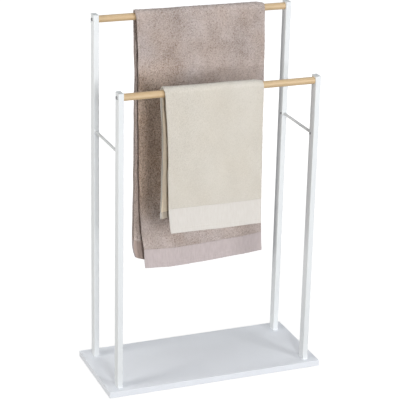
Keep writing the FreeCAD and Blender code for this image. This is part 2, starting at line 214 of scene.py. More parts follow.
def moulded_plastic(name, low, high):
    mat, tree, sh = new_material(name)
    where = object_coords(tree)
    spark = noise(tree, where, 1400.0, 2.0, 0.5)
    tree.links.new(ramp(tree, spark, [(0.3, low), (0.7, high)]), sh.inputs["Base Color"])
    tree.links.new(remap(tree, spark, 0.3, 0.7, 0.48, 0.6), sh.inputs["Roughness"])
    tree.links.new(bump(tree, spark, 0.3, 0.00008), sh.inputs["Normal"])
    return mat


def bar_wood(name):
    """Light straight-grained hardwood running along the bar, under a clear satin lacquer."""
    mat, tree, sh = new_material(name)
    drift = noise(tree, object_coords(tree, (2.2, 30, 30)), 1.0, 2.0, 0.5)
    grain = noise(tree, object_coords(tree, (7, 330, 330)), 1.0, 4.0, 0.55, 0.35)
    fibre = noise(tree, object_coords(tree, (28, 1500, 1500)), 1.0, 2.0, 0.6)
    pores = noise(tree, object_coords(tree, (60, 1900, 1900)), 1.0, 1.0, 0.4)
    colour = ramp(
        tree,
        grain,
        [
            (0.28, (0.419, 0.270, 0.133)),
            (0.44, (0.527, 0.362, 0.193)),
            (0.58, (0.591, 0.425, 0.245)),
            (0.8, (0.653, 0.499, 0.317)),
        ],
    )
    colour = mix(
        tree,
        remap(tree, drift, 0.35, 0.65, 0.0, 0.45),
        colour,
        (0.648, 0.499, 0.309),
    )
    colour = mix(
        tree,
        remap(tree, fibre, 0.25, 0.75, 0.0, 0.28),
        colour,
        (0.460, 0.308, 0.154),
    )
    dots = ramp(tree, pores, [(0.66, (0, 0, 0)), (0.74, (1, 1, 1))])
    as_value = tree.nodes.new("ShaderNodeRGBToBW")
    tree.links.new(dots, as_value.inputs[0])
    colour = mix(
        tree,
        math_node(tree, "MULTIPLY", as_value.outputs[0], 0.55),
        colour,
        (0.302, 0.183, 0.086),
    )
    tree.links.new(colour, sh.inputs["Base Color"])
    tree.links.new(remap(tree, grain, 0.3, 0.7, 0.42, 0.54), sh.inputs["Roughness"])
    tree.links.new(bump(tree, fibre, 0.25, 0.0001), sh.inputs["Normal"])
    sh.inputs["Coat Weight"].default_value = 0.15
    sh.inputs["Coat Roughness"].default_value = 0.35
    return mat


def turned_metal(name, low, high, rough):
    mat, tree, sh = new_material(name)
    where = object_coords(tree)
    fine = noise(tree, where, 1600.0, 3.0, 0.6)
    tree.links.new(ramp(tree, fine, [(0.3, low), (0.7, high)]), sh.inputs["Base Color"])
    tree.links.new(
        remap(tree, fine, 0.3, 0.7, rough - 0.06, rough + 0.08), sh.inputs["Roughness"]
    )
    tree.links.new(bump(tree, fine, 0.3, 0.00005), sh.inputs["Normal"])
    sh.inputs["Metallic"].default_value = 1.0
    return mat


def soft_pad(name):
    mat, tree, sh = new_material(name)
    where = object_coords(tree)
    fine = noise(tree, where, 900.0, 4.0, 0.6)
    tree.links.new(
        ramp(tree, fine, [(0.3, (0.50, 0.50, 0.49)), (0.7, (0.66, 0.66, 0.64))]),
        sh.inputs["Base Color"],
    )
    sh.inputs["Roughness"].default_value = 0.9
    tree.links.new(bump(tree, fine, 0.5, 0.0002), sh.inputs["Normal"])
    return mat


steel = coated_steel("white_powder_coat", (0.74, 0.767, 0.785), (0.768, 0.795, 0.81))
# the braces take a darker copy of the white coat: painted shade, so the thin rods read grey as in shade
painted_shade_rod_steel = coated_steel(
    "white_powder_coat_rod_painted_shade", (0.62, 0.635, 0.64), (0.66, 0.675, 0.68), (0.36, 0.48)
)
board = painted_board("white_board_paint", (0.785, 0.812, 0.86), (0.815, 0.842, 0.89))
cap = moulded_plastic("white_cap_plastic", (0.71, 0.733, 0.74), (0.745, 0.768, 0.775))
wood = bar_wood("light_bar_wood")
dark_screw = turned_metal("dark_screw_steel", (0.16, 0.16, 0.165), (0.24, 0.24, 0.245), 0.42)
zinc = turned_metal("zinc_steel", (0.56, 0.57, 0.58), (0.68, 0.69, 0.70), 0.38)
brass = turned_metal("insert_brass", (0.72, 0.52, 0.22), (0.82, 0.62, 0.30), 0.32)
pad = soft_pad("pale_foot_pad")

finish_of = {
    "base_board": board,
    "base_feet": pad,
    "front_bar": wood,
    "rear_bar": wood,
    "bar_inserts": brass,
    "base_bolts": zinc,
    "base_washers": zinc,
    "bar_screws": dark_screw,
    "brace_screws": dark_screw,
    "left_brace": painted_shade_rod_steel,
    "right_brace": painted_shade_rod_steel,
}
for name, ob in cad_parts.items():
    finish = finish_of.get(name)
    if finish is None:
        if name.endswith("_foot_plug"):
            finish = zinc
        elif name.endswith("_cap"):
            finish = cap
        elif name.endswith("_post"):
            finish = steel
    if finish is None:
        continue
    ob.data.materials.clear()
    ob.data.materials.append(finish)


# ------------------------------------------------------------------ cloth materials
def loops_of(tree, scale, low, high):
    """Rounded heads of the pile, one per cell: 1 at the tip, 0 in the gaps between."""
    cells = tree.nodes.new("ShaderNodeTexVoronoi")
    cells.inputs["Scale"].default_value = 1.0
    cells.inputs["Randomness"].default_value = 0.9
    tree.links.new(cloth_coords(tree, scale), cells.inputs["Vector"])
    return remap(tree, cells.outputs["Distance"], low, high, 1.0, 0.0)


def terry(name, deep, mid, light, warm, painted_bounce_shade, reverse, contrast, loop_amount, slow_amount, relief):
    """Looped pile: painted shade between the loops and in the pile's hollows, painted light on their
    tips, clumped, with slow drifts of tone.

    The open-side tint is painted shade: a warm, browner tone on the front near the open side at mid
    height, where the colour contrast of the pile is also raised as painted self-shadow speckle. The
    reverse tint is painted fill and bounce light: it lightens and warms the side that faces the bar.
    relief is how far the clumps stand up on the outer side and on the reverse.
    """
    mat, tree, sh = new_material(name)
    pile = tree.nodes.new("ShaderNodeAttribute")
    pile.attribute_name = "pile"
    back = tree.nodes.new("ShaderNodeAttribute")
    back.attribute_name = "reverse"
    across = tree.nodes.new("ShaderNodeSeparateXYZ")
    tree.links.new(cloth_coords(tree), across.inputs[0])
    # mask on the front fall near the open side, at mid height, where the bath towel lies in the hand
    # towel's shade; it places the painted shade tint and the painted self-shadow speckle below
    edge = math_node(
        tree,
        "MULTIPLY",
        remap(tree, across.outputs["X"], 7.0, 12.5, 1.0, 0.0),
        math_node(
            tree,
            "MULTIPLY",
            remap(tree, across.outputs["Y"], 12.0, 20.0, 0.0, 1.0),
            remap(tree, across.outputs["Y"], 44.0, 54.0, 1.0, 0.0),
        ),
    )
    loops = math_node(
        tree,
        "MAXIMUM",
        loops_of(tree, (6.6, 3.9, 1), 0.0, 0.72),
        loops_of(tree, (4.6, 6.9, 1), 0.05, 0.8),
    )
    twist = noise(tree, object_coords(tree), 1500.0, 3.0, 0.7)
    grain = noise(tree, cloth_coords(tree, (2.6, 2.1, 1)), 1.0, 2.0, 0.6)
    slow = noise(tree, cloth_coords(tree, (0.17, 0.12, 1)), 1.0, 3.0, 0.5)
    hue = noise(tree, cloth_coords(tree, (0.12, 0.10, 1)), 1.0, 2.0, 0.5)
    # f: the pile's hollows and the gaps between loops go towards the dark colour and the loop tips
    # towards the light one, painted shade and painted light; twist, grain and drift add random tone
    f = math_node(tree, "MULTIPLY", pile.outputs["Fac"], contrast)
    for part, rest, amount in (
        (loops, 0.6, loop_amount * 1.2),
        (twist, 0.5, 0.4),
        (grain, 0.5, loop_amount * 1.1),
    ):
        f = math_node(
            tree,
            "ADD",
            f,
            math_node(tree, "MULTIPLY", math_node(tree, "SUBTRACT", part, rest), amount),
        )
    # painted self-shadow speckle: the colour contrast of the pile is raised in the shaded region near
    # the open side
    f = math_node(tree, "MULTIPLY", f, remap(tree, edge, 0.0, 1.0, 0.95, 1.6))
    drift = math_node(tree, "MULTIPLY", math_node(tree, "SUBTRACT", slow, 0.5), slow_amount)
    f = math_node(tree, "ADD", math_node(tree, "ADD", f, drift), 0.5, clamp=True)
    colour = ramp(tree, f, [(0.05, deep), (0.5, mid), (0.95, light)])
    colour = mix(tree, remap(tree, hue, 0.36, 0.64, 0.0, 1.0), colour, warm, "MULTIPLY")
    # painted shade: the front near the open side is tinted warm and browner, as shade between the
    # towels
    colour = mix(tree, edge, colour, painted_bounce_shade, "MULTIPLY")
    # painted fill and bounce light: the side that faces the bar, seen in the shaded slit between the
    # falls, is lightened and warmed
    colour = mix(tree, back.outputs["Fac"], colour, reverse, "MULTIPLY")
    tree.links.new(colour, sh.inputs["Base Color"])
    sh.inputs["Roughness"].default_value = 1.0
    sh.inputs["Specular IOR Level"].default_value = 0.1
    sh.inputs["Sheen Weight"].default_value = 0.2
    sh.inputs["Sheen Roughness"].default_value = 0.6
    stand = math_node(tree, "MULTIPLY", grain, remap(tree, back.outputs["Fac"], 0, 1, *relief))
    clumps = bump(tree, stand, 1.0, 0.0024)
    heads = bump(tree, loops, 0.8, 0.0009, clumps)
    tree.links.new(bump(tree, twist, 0.8, 0.0004, heads), sh.inputs["Normal"])
    return mat


def flat_weave(name, low, high, reverse):
    """The smooth woven band: fine cross ribs, no pile."""
    mat, tree, sh = new_material(name)
    ribs = tree.nodes.new("ShaderNodeTexWave")
    ribs.wave_type = "BANDS"
    ribs.bands_direction = "Y"
    ribs.inputs["Scale"].default_value = 22.0
    ribs.inputs["Distortion"].default_value = 0.6
    ribs.inputs["Detail"].default_value = 1.0
    tree.links.new(cloth_coords(tree), ribs.inputs["Vector"])
    thread = noise(tree, cloth_coords(tree, (70, 24, 1)), 1.0, 2.0, 0.6)
    slow = noise(tree, cloth_coords(tree, (3.4, 0.5, 1)), 1.0, 2.0, 0.5)
    f = math_node(
        tree, "ADD", math_node(tree, "MULTIPLY", slow, 0.75), math_node(tree, "MULTIPLY", thread, 0.25)
    )
    back = tree.nodes.new("ShaderNodeAttribute")
    back.attribute_name = "reverse"
    colour = ramp(tree, f, [(0.35, low), (0.65, high)])
    # painted shade: the reverse of the band, facing the bar, is darker and browner, as it lies in shade
    # between the falls
    colour = mix(tree, back.outputs["Fac"], colour, reverse, "MULTIPLY")
    tree.links.new(colour, sh.inputs["Base Color"])
    sh.inputs["Roughness"].default_value = 0.85
    sh.inputs["Specular IOR Level"].default_value = 0.2
    sh.inputs["Sheen Weight"].default_value = 0.15
    sh.inputs["Sheen Roughness"].default_value = 0.5
    first = bump(tree, ribs.outputs["Fac"], 0.35, 0.00025)
    tree.links.new(bump(tree, thread, 0.3, 0.0002, first), sh.inputs["Normal"])
    return mat


def thread_material(name, low, high):
    mat, tree, sh = new_material(name)
    fine = noise(tree, object_coords(tree), 2500.0, 2.0, 0.6)
    tree.links.new(ramp(tree, fine, [(0.3, low), (0.7, high)]), sh.inputs["Base Color"])
    tree.links.new(bump(tree, fine, 0.4, 0.0001), sh.inputs["Normal"])
    sh.inputs["Roughness"].default_value = 0.7
    return mat


# deep is the colour of the painted shade in the pile's gaps and hollows, made warm like the shade
# between the towels; the open-side tint is painted shade and the reverse tint painted fill light
taupe_terry = terry(
    "taupe_terry",
    (0.265, 0.20, 0.163),
    (0.565, 0.488, 0.468),
    (0.765, 0.683, 0.664),
    (0.955, 0.915, 0.87),
    (1.16, 1.05, 0.91),
    (1.38, 1.36, 1.32),
    0.16,
    0.50,
    0.68,
    (1.4, 1.6),
)
# the last colour of each band is its reverse tint, painted shade
taupe_band = flat_weave(
    "taupe_band", (0.50, 0.434, 0.43), (0.572, 0.50, 0.50), (0.88, 0.80, 0.72)
)
taupe_thread = thread_material("taupe_thread", (0.44, 0.39, 0.385), (0.52, 0.465, 0.46))
ivory_terry = terry(
    "ivory_terry",
    (0.545, 0.505, 0.44),
    (0.695, 0.656, 0.588),
    (0.795, 0.76, 0.70),
    (0.99, 0.98, 0.965),
    (1.0, 1.0, 1.0),
    (1.2, 1.09, 0.95),
    0.07,
    0.24,
    0.35,
    (0.25, 1.2),
)
ivory_band = flat_weave(
    "ivory_band", (0.687, 0.652, 0.609), (0.727, 0.696, 0.658), (0.74, 0.68, 0.60)
)
ivory_thread = thread_material("ivory_thread", (0.60, 0.57, 0.51), (0.68, 0.655, 0.60))


# ------------------------------------------------------------------ towel shape
def perlin(x, y, seed):
    rng = np.random.default_rng(seed)
    perm = rng.permutation(256)
    perm = np.concatenate([perm, perm])
    angle = rng.random(256) * 2 * np.pi
    gx, gy = np.cos(angle), np.sin(angle)
    xi, yi = np.floor(x).astype(int), np.floor(y).astype(int)
    xf, yf = x - xi, y - yi
    u, v = xf**3 * (xf * (xf * 6 - 15) + 10), yf**3 * (yf * (yf * 6 - 15) + 10)
    total = 0.0
    for dx in (0, 1):
        for dy in (0, 1):
            h = perm[perm[(xi + dx) & 255] + ((yi + dy) & 255)]
            dot = gx[h] * (xf - dx) + gy[h] * (yf - dy)
            total = total + dot * (u if dx else 1 - u) * (v if dy else 1 - v)
    return total * 1.4


def step(x, a, b):
    t = np.clip((x - a) / (b - a), 0, 1)
    return t * t * (3 - 2 * t)


def smooth_curve(points, sigma=14.0):
    """A softened line through (position, value) points, as a function."""
    p = sorted(points)
    xs = np.arange(p[0][0] - 150, p[-1][0] + 150, 1.0)
    px, py = [a for a, _ in p], [b for _, b in p]
    ys = np.interp(xs, px, py)
    lo, hi = xs < px[0], xs > px[-1]
    ys[lo] = py[0] + (xs[lo] - px[0]) * (py[1] - py[0]) / (px[1] - px[0])
    ys[hi] = py[-1] + (xs[hi] - px[-1]) * (py[-1] - py[-2]) / (px[-1] - px[-2])
    k = np.exp(-0.5 * (np.arange(-60, 61) / sigma) ** 2)
    k /= k.sum()
    soft = np.convolve(ys, k, "same")
    soft[:60], soft[-60:] = ys[:60], ys[-60:]
    return lambda q: np.interp(q, xs, soft)


class Towel:
    """A towel folded once lengthwise, open side at low X, hung over a bar that runs along X.

    x runs across the fold from the open side, s along the cloth from the front hem over the bar to
    the rear hem, and n outward from the face that touches the bar. All in millimetres.
    """

    def __init__(self, **spec):
        self.__dict__.update(spec)
        self.mid = self.r0 + self.thick / 2
        self.over = math.pi * self.mid
        self.total = self.front + self.over + self.back
        self.gap = self.thick - 2 * self.ply
        self.fl = smooth_curve(self.front_left, 8)
        self.fr = smooth_curve(self.front_right)
        self.bl = smooth_curve(self.back_left, 6)
        self.br = smooth_curve(self.back_right)
        self.f_hem, self.b_hem = smooth_curve(self.front_hem, 6), smooth_curve(
            self.back_hem, 4
        )

    def sides(self, s, z):
        """Left and right edge of the cloth at each point."""
        f = s < self.front
        b = s > self.front + self.over
        t = np.clip((s - self.front) / self.over, 0, 1)
        left = np.where(f, self.fl(z), np.where(b, self.bl(z), 0))
        rgt = np.where(f, self.fr(z), np.where(b, self.br(z), 0))
        mid = ~f & ~b
        e = t * t * (3 - 2 * t)
        left = np.where(mid, self.fl(z) * (1 - e) + self.bl(z) * e, left)
        rgt = np.where(mid, self.fr(z) * (1 - e) + self.br(z) * e, rgt)
        left = left + self.edge_wave * perlin(s / 46.0, s * 0 + 0.37, self.seed + 1)
        rgt = rgt + self.edge_wave * 0.7 * perlin(s / 62.0, s * 0 + 0.61, self.seed + 2)
        return left, rgt

    def is_band(self, s):
        return np.maximum(
            1 - step(s, self.band_front - 0.8, self.band_front + 0.8),
            step(s, self.total - self.band_back - 0.8, self.total - self.band_back + 0.8),
        )

    def at(self, x, n, s):
        """Where a point of the cloth is."""
        c = x / self.width
        theta = np.clip((s - self.front) / self.over, 0, 1) * math.pi
        f = s < self.front
        b = s > self.front + self.over
        q = s / self.front
        qb = (s - self.front - self.over) / self.back
        x_guess = self.fl(self.zb) + c * self.width
        z_front = self.zb - (self.zb - self.f_hem(x_guess)) * (1 - q)
        z_back = self.zb - (self.zb - self.b_hem(x_guess)) * qb
        # the outer ply is fuller at the open side, and the fold's shoulder sinks over the bar
        top = np.sin(theta)
        squash = 1 - self.shoulder * step(x, self.width - 20, self.width) * top
        lift = self.left_lift * (1 - c) * top * (n / self.thick)
        nn = n * squash + lift
        z = np.where(
            f, z_front, np.where(b, z_back, self.zb + (self.r0 + nn) * top)
        )
        left, rgt = self.sides(s, z)
        px = left + c * (rgt - left)
        d = self.drape(px, z, s, c)
        py = self.yb - (self.r0 + nn) * np.cos(theta)
        py = py - np.where(f, d, 0) + np.where(b, d, 0)
        return np.stack([px, py, z], -1)

    def drape(self, px, z, s, c):
        """How far a fall stands out from its straight plane."""
        low = np.clip((self.zb - z) / 600.0, 0, 1.2)
        f = s < self.front
        seed = np.where(f, 0.0, 40.0)
        reach = step(self.zb - z, 8, 120)
        wave = perlin(px / 78.0 + seed, z / 420.0 + seed, self.seed + 5) * 2.2
        wave = wave + perlin(px / 37.0 + seed, z / 260.0 + seed, self.seed + 6) * 0.9
        d = wave * reach * (0.45 + low) * self.flute
        bulge = (
            np.exp(-(((c - self.bulge_at) / 0.26) ** 2))
            * step(self.zb - z, self.bulge_from, self.bulge_from + 250)
            * self.bulge
        )
        d = d + np.where(f, bulge, bulge * 0.4)
        # shallow upright ripples where the woven band is a little shorter than the pile
        near = np.where(f, s, self.total - s)
        band = np.where(f, self.band_front, self.band_back)
        wave2 = perlin(px / 15.0 + seed, near / 160.0, self.seed + 7)
        d = d + wave2 * self.ripple * (1 - step(near, band, band + 55))
        # the corners turn a little towards or away from the bar side
        # the open side hangs in a little under the bar
        inward = step(self.zb - z, 16, 110) * np.exp(-c * self.width / 30.0)
        d = d - inward * np.where(f, self.lean_front, self.lean_back)
        corner = np.exp(-near / 60.0) * np.exp(-c * self.width / 26.0)
        d = d + corner * np.where(f, self.curl_front, self.curl_back)
        return d


def rows_of(t, spacing, bar_spacing):
    """Stations along the cloth, close together at hems, band edges and over the bar."""
    s = [0.0, 0.35, 0.9, 1.8]
    s += [4.5, 7.5, t.hem - 1.3, t.hem - 0.5, t.hem, t.hem + 0.5, t.hem + 1.3]
    s += list(np.arange(t.hem + 4.5, t.band_front - 3.0, spacing))
    s += [t.band_front + v for v in (-1.2, -0.4, 0.4, 1.2, 2.8)]
    s += list(np.arange(t.band_front + 5.5, t.front - 14, spacing))
    s += list(np.arange(t.front - 13, t.front + t.over + 13, bar_spacing))
    end = t.total
    s += list(
        np.arange(t.front + t.over + 16, end - t.band_back - 4.5, spacing)
    )
    s += [end - t.band_back + v for v in (-2.8, -1.2, -0.4, 0.4, 1.2)]
    s += list(np.arange(end - t.band_back + 4.5, end - t.hem - 4.0, spacing))
    s += [end - v for v in (t.hem + 1.3, t.hem + 0.5, t.hem, t.hem - 0.5, t.hem - 1.3)]
    s += [end - v for v in (7.5, 4.5, 1.8, 0.9, 0.35, 0.0)]
    s = np.array(sorted(s))
    keep = np.concatenate([[True], np.diff(s) > 0.2])
    return s[keep]


def towel_piece(name, t, column, spacing, bar_spacing, materials):
    rows = rows_of(t, spacing, bar_spacing)
    cols = int(round(t.width / column / 3)) * 3
    hid = cols // 3
    T, ply, W = t.thick, t.ply, t.width
    x_out = np.linspace(0, W - T / 2, cols + 1)  # outer and inner faces
    x_hid = x_out[::3]
    fold = np.linspace(0, math.pi, 9)[1:-1]
    slit = np.linspace(0, math.pi, 5)[1:-1]
    lip = np.linspace(0, math.pi, 5)[1:-1]
    # one closed line round the section: kind 0 outer face, 1 fold, 2 inner face, 3 lip, 4 hidden
    x, n, kind = [], [], []

    def add(xs, ns, k):
        x.extend(np.atleast_1d(xs))
        n.extend(np.atleast_1d(ns) + np.zeros(len(np.atleast_1d(xs))))
        kind.extend([k] * len(np.atleast_1d(xs)))

    r = T / 2
    add(x_out, T, 0)
    add(W - r + r * np.sin(fold), r + r * np.cos(fold), 1)
    add(x_out[::-1], 0.0, 2)
    add(0.0 - ply / 2 * np.sin(lip) * 0.8, ply / 2 - ply / 2 * np.cos(lip), 3)
    add(x_hid, ply, 4)
    g = t.gap / 2
    add(W - r + g * np.sin(slit), ply + g - g * np.cos(slit), 4)
    add(x_hid[::-1], T - ply, 4)
    add(0.0 - ply / 2 * np.sin(lip) * 0.8, T - ply / 2 - ply / 2 * np.cos(lip), 3)
    x, n, kind = np.array(x), np.array(n), np.array(kind)
    count = len(x)
    is_outer_ply = n > T / 2
    X = np.broadcast_to(x, (len(rows), count)).copy()
    N = np.broadcast_to(n, (len(rows), count)).copy()
    S = np.broadcast_to(rows[:, None], (len(rows), count)).copy()
    K = np.broadcast_to(kind, (len(rows), count))

    # the two long edges of the cloth don't lie exactly over each other
    slip = (
        t.slip
        + 1.6 * perlin(rows / 55.0, rows * 0 + 0.2, t.seed + 11)
        + 0.5 * perlin(rows / 17.0, rows * 0 + 0.7, t.seed + 12)
    )
    fade = np.clip(1 - X / 90.0, 0, 1) ** 2
    X += np.where(is_outer_ply[None, :], 0, slip[:, None] * fade)
    # the plies part a little along the open side
    part = (
        t.part
        * (0.55 + 0.9 * perlin(rows / 90.0, rows * 0 + 0.5, t.seed + 13))[:, None]
        * np.exp(-np.clip(X, 0, None) / 22.0)
    )
    N += np.where(is_outer_ply[None, :], part, 0)

    # pile: stands off both faces, absent in the woven band and on the selvedge
    band = t.is_band(S)
    hem = np.maximum(
        1 - step(S, t.hem - 0.3, t.hem + 0.3),
        step(S, t.total - t.hem - 0.3, t.total - t.hem + 0.3),
    )
    stitch = np.exp(-(((S - t.hem + 1.2) / 0.7) ** 2)) + np.exp(
        -(((t.total - S - t.hem + 1.2) / 0.7) ** 2)
    )
    selvedge = 1 - step(X, t.selvedge - 1.0, t.selvedge + 1.0)
    bare = np.maximum(band, selvedge * 0.85)
    face = (K == 0) | (K == 1) | (K == 2) | (K == 3)
    outer_side = K == 0
    inner_side = K == 2
    sgn = np.where(outer_side, 1.0, np.where(inner_side, -1.0, 0.0))
    sgn = np.where(K == 1, np.cos(np.clip((T - N) / T, 0, 1) * math.pi), sgn)
    off = np.where(inner_side, 300.0, 0.0)
    bumps = (
        0.34 * perlin((X + off) / t.tuft[0], S / t.tuft[1], t.seed + 21)
        + 0.12 * perlin((X + off) / 7.5, S / 13.0, t.seed + 22)
        + 0.14 * perlin((X + off) / 19.0, S / 30.0, t.seed + 23)
    )
    rng = np.random.default_rng(t.seed + 24)
    bumps = bumps + 0.2 * rng.standard_normal(bumps.shape)
    pile = bumps * (1 - bare * 0.93)
    amount = t.pile * pile
    near_bar = step(S, t.front - 22, t.front - 6) * (
        1 - step(S, t.front + t.over + 6, t.front + t.over + 22)
    )
    amount = np.where(inner_side, amount * (1 - near_bar), amount)
    N += sgn * amount
    X += np.where(K == 1, amount * np.sin(np.clip((T - N) / T, 0, 1) * math.pi), 0)
    sink = np.where(face, t.pile_height * bare, 0)
    N -= sgn * sink
    N += sgn * hem * 0.45 * band - sgn * stitch * 0.35 * band
    # soft pressed hollows and swells of the folded cloth
    N += np.where(
        outer_side | (K == 1),
        t.swell * perlin(X / 62.0, S / 88.0, t.seed + 31) * (1 - 0.5 * band),
        0,
    )
    # hems are rounded over
    ends = np.minimum(S, t.total - S)
    pinch = np.clip(1 - ends / 0.9, 0, 1) ** 2 * 0.42
    centre = np.where(is_outer_ply[None, :], T - ply / 2, ply / 2)
    N = centre + (N - centre) * (1 - pinch)
    N = np.maximum(N, np.where(near_bar > 0.5, 0.0, -3.0))

    pos = t.at(X, N, S) * MM
    total_rows = len(rows)
    index = np.arange(total_rows * count).reshape(total_rows, count)
    a = index[:-1, :]
    b = index[1:, :]
    a2, b2 = np.roll(a, -1, axis=1), np.roll(b, -1, axis=1)
    quads = np.stack([a, b, b2, a2], -1).reshape(-1, 4)
    faces = quads.tolist()
    row_mid = (rows[:-1] + rows[1:]) / 2
    in_band = (row_mid < t.band_front) | (row_mid > t.total - t.band_back)
    slots = np.repeat(in_band, count).astype(int).tolist()

    # close both hems, ply by ply
    i_out = np.where(kind == 0)[0]
    i_in = np.where(kind == 2)[0][::-1]
    hidden = np.where(kind == 4)[0]
    h_in = hidden[: hid + 1]
    h_slit = hidden[hid + 1 : -(hid + 1)]
    h_out = hidden[-(hid + 1) :][::-1]
    i_fold = np.where(kind == 1)[0]
    lips = np.where(kind == 3)[0]
    lip_in, lip_out = lips[: len(lip)], lips[len(lip) :]
    for r_i, flip in ((0, False), (total_rows - 1, True)):
        base = r_i * count

        def close(loop):
            loop = [int(base + v) for v in loop]
            faces.append(loop[::-1] if flip else loop)
            slots.append(1)

        for j in range(hid):
            close([*i_out[3 * j : 3 * j + 4], h_out[j + 1], h_out[j]])
            close([h_in[j], h_in[j + 1], *i_in[3 * j : 3 * j + 4][::-1]])
        close([i_out[0], h_out[0], *lip_out])
        close([h_in[0], i_in[0], *lip_in])
        ring_out = [i_out[-1], *i_fold, i_in[-1]]
        ring_in = [h_in[-1], *h_slit, h_out[-1]]
        close([*ring_out, *ring_in])

    mesh = bpy.data.meshes.new(name)
    mesh.from_pydata(pos.reshape(-1, 3).tolist(), [], faces)
    for mat in materials:
        mesh.materials.append(mat)
    mesh.polygons.foreach_set("material_index", slots)
    mesh.polygons.foreach_set("use_smooth", [True] * len(faces))
    # the pile height is also read by the terry colour, where its hollows take painted shade
    at = mesh.attributes.new("pile", "FLOAT", "POINT")
    at.data.foreach_set("value", pile.astype(np.float32).ravel())
    # marks the side that faces the bar, which the terry lightens as painted fill light and the band
    # darkens as painted shade
    at = mesh.attributes.new("reverse", "FLOAT", "POINT")
    at.data.foreach_set("value", (K == 2).astype(np.float32).ravel())
    at = mesh.attributes.new("cloth", "FLOAT_VECTOR", "POINT")
    side = np.where(K == 2, 3.7, 0.0)
    at.data.foreach_set(
        "vector",
        np.stack([X / 10 + side, S / 10, side], -1).astype(np.float32).ravel(),
    )
    bm = bmesh.new()
    bm.from_mesh(mesh)
    bmesh.ops.recalc_face_normals(bm, faces=bm.faces)
    bm.to_mesh(mesh)
    bm.free()
    mesh.update()
    ob = bpy.data.objects.new(name, mesh)
    scene.collection.objects.link(ob)
    return ob


def stitches(name, t, mat):
    """A row of short stitches along each hem, a little proud of the woven band."""
    verts, faces = [], []
    length, pitch_mm, rad = 2.3, 3.3, 0.33
    for end in (0, 1):
        s0 = t.hem - 1.2 if end == 0 else t.total - t.hem + 1.2
        n0 = t.thick - t.pile_height + 0.1
        xs = np.arange(3.0, t.width - t.thick, pitch_mm)
        for x0 in xs:
            stations = []
            for k, w in ((-0.5, 0.35), (-0.3, 1.0), (0.3, 1.0), (0.5, 0.35)):
                stations.append((x0 + k * length, w))
            ring0 = None
            base = len(verts)
            for xx, w in stations:
                for a in range(6):
                    ang = a * math.pi / 3
                    p = t.at(
                        np.array(xx),
                        np.array(
                            n0
                            + t.swell
                            * float(
                                perlin(
                                    np.array(xx / 62.0),
                                    np.array(s0 / 88.0),
                                    t.seed + 31,
                                )
                            )
                            * 0.5
                            + rad * w * math.sin(ang)
                        ),
                        np.array(s0 + rad * w * math.cos(ang)),
                    )
                    verts.append((p * MM).tolist())
            for i in range(3):
                for a in range(6):
                    b2 = (a + 1) % 6
                    faces.append(
                        [
                            base + i * 6 + a,
                            base + i * 6 + b2,
                            base + (i + 1) * 6 + b2,
                            base + (i + 1) * 6 + a,
                        ]
                    )
            faces.append([base + a for a in range(6)][::-1])
            faces.append([base + 18 + a for a in range(6)])
    mesh = bpy.data.meshes.new(name)
    mesh.from_pydata(verts, [], faces)
    mesh.materials.append(mat)
    mesh.polygons.foreach_set("use_smooth", [True] * len(faces))
    bm = bmesh.new()
    bm.from_mesh(mesh)
    bmesh.ops.recalc_face_normals(bm, faces=bm.faces)
    bm.to_mesh(mesh)
    bm.free()
    ob = bpy.data.objects.new(name, mesh)
    scene.collection.objects.link(ob)
    return ob


bath = Towel(
    seed=11,
    yb=88.0,
    zb=875.0,
    r0=8.7,
    ply=2.7,
    thick=6.0,
    width=322.5,
    front=632.0,
    back=621.0,
    front_left=[
        (892, -151),
        (882, -147),
        (865, -144),
        (833, -142),
        (773, -140.5),
        (630, -139),
        (537, -136.8),
        (434, -134),
        (382, -131.5),
        (343, -129),
        (311, -126),
        (293, -122),
        (240, -118),
    ],
    front_right=[(875, 181), (697, 184), (384, 190), (300, 192), (249, 196)],
    back_left=[
        (892, -145),
        (863, -143.5),
        (780, -144.5),
        (477, -144.8),
        (350, -145.6),
        (297, -145.3),
        (280, -143.3),
        (265, -138.3),
        (255, -134.3),
    ],
    back_right=[(875, 181), (600, 180), (254, 178)],
    front_hem=[(-142, 240), (-90, 237.5), (-30, 238), (60, 242), (130, 245.5), (181, 249)],
    back_hem=[(-142, 262), (-128, 255), (-110, 252), (0, 253), (181, 255)],
    band_front=49.5,
    band_back=49.5,
    hem=12.0,
    selvedge=2.0,
    pile=0.95,
    pile_height=1.0,
    tuft=(4.4, 7.5),
    swell=0.9,
    flute=1.0,
    bulge=3.0,
    bulge_at=0.38,
    bulge_from=300.0,
    ripple=1.1,
    curl_front=1.0,
    curl_back=-1.0,
    lean_front=0.0,
    lean_back=9.5,
    edge_wave=1.2,
    shoulder=0.5,
    left_lift=1.2,
    slip=1.5,
    part=1.6,
)
